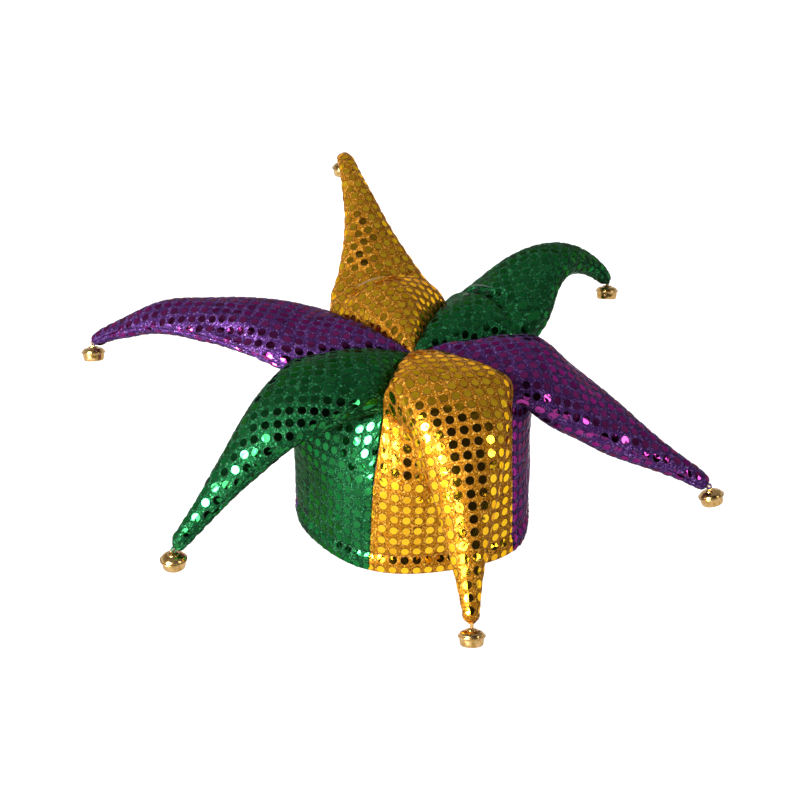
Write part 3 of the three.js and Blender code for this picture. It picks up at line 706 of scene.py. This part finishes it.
def slot_bar(turn, bottom, top):
    """A bar with round ends, SLOT_LENGTH by SLOT_WIDTH, to cut one arm of the cross slot."""
    a = np.linspace(-np.pi / 2, np.pi / 2, 9)
    x, y = SLOT_WIDTH / 2 * np.cos(a) + (SLOT_LENGTH - SLOT_WIDTH) / 2, SLOT_WIDTH / 2 * np.sin(a)
    x, y = np.concatenate([x, -x]), np.concatenate([y, -y])
    x, y = x * np.cos(turn) - y * np.sin(turn), x * np.sin(turn) + y * np.cos(turn)
    n = len(x)
    corners = np.concatenate([np.stack([x, y, x * 0 + z], -1) for z in (bottom, top)])
    i = np.arange(n)
    on = np.roll(i, -1)
    return corners, [i[::-1].tolist(), (i + n).tolist(), *np.stack([i, on, on + n, i + n], -1).tolist()]


def bell_shapes():
    """Cap with loop, and bowl with a cross slot: profiles of [radius, height] turned about Z, rim at 0."""
    r, h, w = BELL_WIDTH / 2, BELL_CAP_HEIGHT, BELL_WALL
    body, step, low, deep = r - RIM_WIDTH, STEP_WIDTH / 2, 0.02, BELL_BOWL_HEIGHT
    top = rounded([[0.05, h], [0.55 * step, h], [0.9 * step, h], [step, 0.9 * h], [step, 0.82 * h],
                   [0.62 * r, 0.74 * h], [0.8 * r, 0.58 * h], [body, 0.3 * h],
                   [body + 0.1, low + BELL_RIM + 0.1], [r - 0.1, low + BELL_RIM], [r, low + 0.7 * BELL_RIM],
                   [r, low]])
    inside = rounded([[body - w, low], [body - w, 0.25 * h], [0.72 * r - w, 0.62 * h], [0.05, h - 1.2 * w]])
    cap = turned(np.vstack([top, inside]), BELL_SIDES)
    under = rounded([[0.05, -deep], [0.62 * r, -deep], [0.8 * r, -0.97 * deep], [0.86 * r, -0.72 * deep],
                     [0.98 * body, -0.3 * deep], [body, -low - BELL_RIM - 0.2], [r - 0.1, -low - BELL_RIM],
                     [r, -low - 0.7 * BELL_RIM], [r, -low]])
    inner = rounded([[body - w, -low], [0.98 * body - w, -0.3 * deep], [0.86 * r - w, -0.72 * deep],
                     [0.78 * r - w, w - 0.97 * deep], [0.05, w - deep]])
    bowl = turned(np.vstack([under, inner])[::-1], BELL_SIDES)
    bars = [slot_bar(0, -deep - 1, -0.3 * deep), slot_bar(np.pi / 2, -deep - 1, -0.3 * deep)]
    a = np.linspace(0, 2 * np.pi, 32, endpoint=False)
    centre = h + LOOP_RADIUS + LOOP_WIRE / 2 - LOOP_SINK
    ring = np.stack([LOOP_RADIUS * np.cos(a), 0 * a, centre + LOOP_RADIUS * np.sin(a)], -1)
    return joined([cap, tube(ring, LOOP_WIRE / 2, 12, True)]), cut_slots(bowl[0], bowl[1], bars)


def placed(shape, loop_at, turn, lean):
    """A bell half hung from its loop: turned about Z, then leant to the back and right about the loop."""
    c = shape[0] - [0, 0, BELL_CAP_HEIGHT + LOOP_RADIUS + LOOP_WIRE / 2 - LOOP_SINK]
    tilt = Euler((-np.radians(lean[0]), np.radians(lean[1]), 0)).to_matrix() @ Euler((0, 0, turn)).to_matrix()
    return c @ np.array(tilt).T + loop_at


def hang(k, gore):
    """Where a point ends, its direction and side there, and the middle of the loop just clear of it: ahead of
    the tip and below it."""
    tip = spine(k, gore, np.array([1.0]))
    end, along, side = tip["place"][0], tip["along"][0], tip["side"][0]
    away = unit(along - UP)
    return end, along, side, end + away * (SEAM_GAP + LOOP_RADIUS + LOOP_WIRE / 2) / (away @ along)


# Materials, from the colours in the photograph
KNIT = {
    # warm gold foil, with brown yarn showing between the specks
    "gold": foil_knit("gold foil knit", "#482806", "#9C6412", "#E6B04A"),
    # bottle green foil with cool bright specks
    "green": foil_knit("green foil knit", "#06200F", "#0E4222", "#3C8A58"),
    # violet foil with lilac specks
    "purple": foil_knit("purple foil knit", "#1E0C2C", "#42225A", "#84609E"),
}
FOIL = {
    # yellow gold mirror
    "gold": sequin_foil("gold sequin foil", "#E6AA1E", "#FFCA28"),
    # emerald mirror
    "green": sequin_foil("green sequin foil", "#15602C", "#1F7A3C"),
    # magenta violet mirror
    "purple": sequin_foil("purple sequin foil", "#6E2064", "#963080"),
}
EDGE = {
    "gold": sequin_edge("gold sequin edge", "#4A340E"),
    "green": sequin_edge("green sequin edge", "#0A2614"),
    "purple": sequin_edge("purple sequin edge", "#260C2C"),
}
LINING = {
    "gold": lining_knit("gold lining", "#5E4A26", "#8A7142"),
    "green": lining_knit("green lining", "#12301F", "#2A5238"),
    "purple": lining_knit("purple lining", "#241636", "#45315E"),
}
THREAD = {
    "gold": thread("gold thread", "#B98A35"),
    "green": thread("green thread", "#1D6B3D"),
    "purple": thread("purple thread", "#4E2A78"),
}
BRASS = plated_brass()

cap_shape, bowl_shape = bell_shapes()

# The crown's axis in the part's frame: the upright bell of the front left point is where its node is
low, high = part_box("bell_bowl_green_front_left")
loop_at = hang(5, GORES[5])[3]
HAT_AT = np.array([(low[0] + high[0]) / 2 / MM - loop_at[0], (low[1] + high[1]) / 2 / MM - loop_at[1], 0.0])

for k, gore in enumerate(GORES):
    name, cloth = gore["name"], gore["cloth"]
    sp = spine(k, gore, point_stations(gore["reach"] * POINT_LENGTH))

    # Upper piece: roof sector and top face of the point
    roof = roof_skin(sp)
    skin = soften(np.concatenate([roof, point_skin(sp, 1)]), 10)
    u, v = chart(skin, len(roof))
    normal = outward(skin, 1)
    skin = skin + relief(name, 1, u, v, 10 + k)[..., None] * normal
    roof_share = np.linspace(CENTRE_SHARE, 1, ROOF_ROWS)
    ease = smoothstep(np.concatenate([roof_share / LINING_SHARE, np.ones(len(skin) - ROOF_ROWS)]))
    inward = unit(mix(-UP, -normal, ease[:, None, None]))
    deep = np.minimum(CLOTH, THINNEST_SHARE * np.linalg.norm(skin[:, -1] - skin[:, 0], axis=-1))
    cloth_piece("cloth_upper_" + name, "upper_" + name, skin, deep[:, None, None] * inward, True, (u, v),
                [KNIT[cloth], LINING[cloth]])
    sequins("sequins_upper_" + name, skin, u, v, 1, gore["turn"][0], [FOIL[cloth], EDGE[cloth]], 20 + k)

    # Lower piece: band panel with its hem, and underside of the point
    panel, heights = band_skin(sp)
    skin = np.concatenate([panel, point_skin(sp, -1)])
    skin[len(panel) - 12:len(panel) + 12] = soften(skin[len(panel) - 12:len(panel) + 12], 8)
    u, v = chart(skin, len(panel))
    normal = outward(skin, -1)
    above_hem = smoothstep((np.arange(len(skin)) - 20) / 10)[:, None]
    skin = skin + (relief(name, -1, u, v, 30 + k) * above_hem)[..., None] * normal
    deep = np.full(len(skin), CLOTH)
    deep[:len(panel)] = np.where(heights[:, 0] < HEM_HEIGHT, HEM_CLOTH - 2 * fold_inset(heights[:, 0]), CLOTH)
    deep = np.minimum(deep, THINNEST_SHARE * np.linalg.norm(skin[:, -1] - skin[:, 0], axis=-1))
    level = smoothstep((np.arange(len(skin)) - 24) / 6)[:, None, None]
    inward = unit(mix(-unit(skin * [1, 1, 0]), -normal, level))
    cloth_piece("cloth_lower_" + name, "lower_" + name, skin, deep[:, None, None] * inward, False, (u, v),
                [KNIT[cloth], LINING[cloth]])
    sequins("sequins_lower_" + name, skin, u, v, -1, gore["turn"][1], [FOIL[cloth], EDGE[cloth]], 40 + k)

    # Hem stitches: short dashes of thread sunk in the groove of the stitch line
    row = int(np.argmin(np.abs(heights[:, 0] - HEM_HEIGHT)))
    line, out = skin[row], normal[row]
    length = np.concatenate([[0], np.cumsum(np.linalg.norm(np.diff(line, axis=0), axis=-1))])
    count = int(length[-1] / STITCH_PITCH)
    starts = (np.arange(count) + 0.25) * length[-1] / count
    dashes = []
    for start in starts:
        share = start + np.linspace(0, STITCH_LONG, len(STITCH_RISE))
        path = np.stack([np.interp(share, length, line[:, a]) for a in range(3)], -1)
        off = np.stack([np.interp(share, length, out[:, a]) for a in range(3)], -1)
        path = path + off * np.array(STITCH_RISE)[:, None]
        dashes.append(tube(path, STITCH_THICK / 2, 6, False))
    corners, faces = joined(dashes)
    add_mesh("hem_stitches_" + name, corners, faces, [THREAD[cloth]])

    # Bell, hung from the tip by its loop
    end, along, side, loop_at = hang(k, gore)
    turn = np.arctan2(along[1], along[0])
    for half, shape in (("cap", cap_shape), ("bowl", bowl_shape)):
        corners = placed(shape, loop_at, turn, gore["lean"])
        piece = add_mesh("bell_" + half + "_brass_" + name, corners, shape[1], [BRASS])
        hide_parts("bell_" + half + "_" + name)
    a = np.linspace(0, 2 * np.pi, 28, endpoint=False)
    knots = []
    for off_side in THREAD_TURNS:
        centre = mix(end, loop_at, THREAD_SHARE) + off_side * side
        ring = centre + THREAD_RING * (np.cos(a)[:, None] * along + np.sin(a)[:, None] * np.cross(along, side))
        knots.append(tube(ring, THREAD_WIRE / 2, 6, True))
    corners, faces = joined(knots)
    add_mesh("bell_thread_" + name, corners, faces, [THREAD[cloth]])

# Floor: plain white table, a little dimmer to the cloth and foil above it than to the camera
mesh = bpy.data.meshes.new("floor")
mesh.from_pydata([(-6, -6, 0), (6, -6, 0), (6, 6, 0), (-6, 6, 0)], [], [(0, 1, 2, 3)])
floor = bpy.data.objects.new("floor", mesh)
bpy.context.scene.collection.objects.link(floor)
white, tree, out = new_material("white table")
direct = add_node(tree, "LightPath")
glow = add_node(tree, "MapRange", Value=(direct, "Is Camera Ray"), To_Min=FLOOR_GLOW, To_Max=1.0)
paper = add_node(tree, "BsdfPrincipled", Base_Color=colour("#8C8C8C"), Roughness=0.9,
                 Emission_Color=colour("#FFFFFF"), Emission_Strength=(glow, "Result"))
tree.links.new(paper.outputs[0], out.inputs[0])
mesh.materials.append(white)

# Room: a bright low sheet behind the hat, dimmer above, dark towards the camera; seen directly it is white
scene = bpy.context.scene
world = bpy.data.worlds.new("studio")
world.use_nodes = True
scene.world = world
tree = world.node_tree
tree.nodes.clear()
way = add_node(tree, "SeparateXYZ", Vector=(add_node(tree, "TexCoord"), "Generated"))
behind = add_node(tree, "MapRange", Value=(way, "Y"), From_Min=-0.3, From_Max=0.2)
height = add_node(tree, "MapRange", Value=(way, "Z"), From_Min=0.15, From_Max=0.5,
                  To_Min=ROOM_BRIGHT, To_Max=ROOM_HIGH)
sheet = add_node(tree, "Math", operation="MULTIPLY_ADD", in0=(behind, "Result"), in1=(height, "Result"),
                 in2=ROOM_DARK)
direct = add_node(tree, "LightPath")
level = add_node(tree, "Math", operation="MAXIMUM", in0=(sheet, "Value"), in1=(direct, "Is Camera Ray"))
room = add_node(tree, "Background", Color=colour("#FFFFFF"), Strength=(level, "Value"))
tree.links.new(room.outputs[0], tree.nodes.new("ShaderNodeOutputWorld").inputs[0])


def area(name, azimuth, elevation, distance, size, power, soft=True, glossy=True):
    """A soft box that looks at the hat from a direction in degrees; azimuth 0 is +X and 90 is +Y. It lights
    matt cloth only where it is soft, and is mirrored in the foil only where it is glossy."""
    a, e = np.radians(azimuth), np.radians(elevation)
    target = Vector(HAT_AT * MM) + Vector((0, 0, 0.1))
    light = bpy.data.lights.new(name, "AREA")
    light.shape, light.size, light.size_y, light.energy = "RECTANGLE", *size, power
    lamp = bpy.data.objects.new(name, light)
    lamp.location = target + Vector((np.cos(e) * np.cos(a), np.cos(e) * np.sin(a), np.sin(e))) * distance
    lamp.rotation_euler = (target - lamp.location).to_track_quat("-Z", "Y").to_euler()
    lamp.visible_diffuse, lamp.visible_glossy = soft, glossy
    scene.collection.objects.link(lamp)


# Lights: a wide key at the front left with a brighter one inside it that only the foil shows, for the sequins
# that go white; a weak fill at the right, and two at the back that only lift the cloth
area("key", -130, 22, 2.0, (1.2, 1.3), 60)
area("flash", -132, 20, 1.9, (0.65, 1.2), 140, soft=False)
area("fill", -30, 25, 2.4, (0.3, 1.0), 10)
area("back", 118, 48, 2.2, (0.5, 0.5), 24, glossy=False)
area("rim", 62, 46, 2.2, (0.4, 0.4), 14, glossy=False)

# Camera: a long lens, 28 degrees above the table
lens = bpy.data.cameras.new("camera")
lens.sensor_width, lens.lens, lens.clip_start, lens.clip_end = 36, 36 * CAMERA_PIXELS / 800, 0.01, 50
camera = bpy.data.objects.new("camera", lens)
aim = Vector((HAT_AT + [-10, 0, 100]) * MM)
tilt = np.radians(CAMERA_UP)
camera.location = aim + Vector((0, -np.cos(tilt), np.sin(tilt))) * CAMERA_AWAY
camera.rotation_euler = (np.pi / 2 - tilt, 0, 0)
scene.collection.objects.link(camera)
scene.camera = camera
scene.view_settings.view_transform = "Standard"
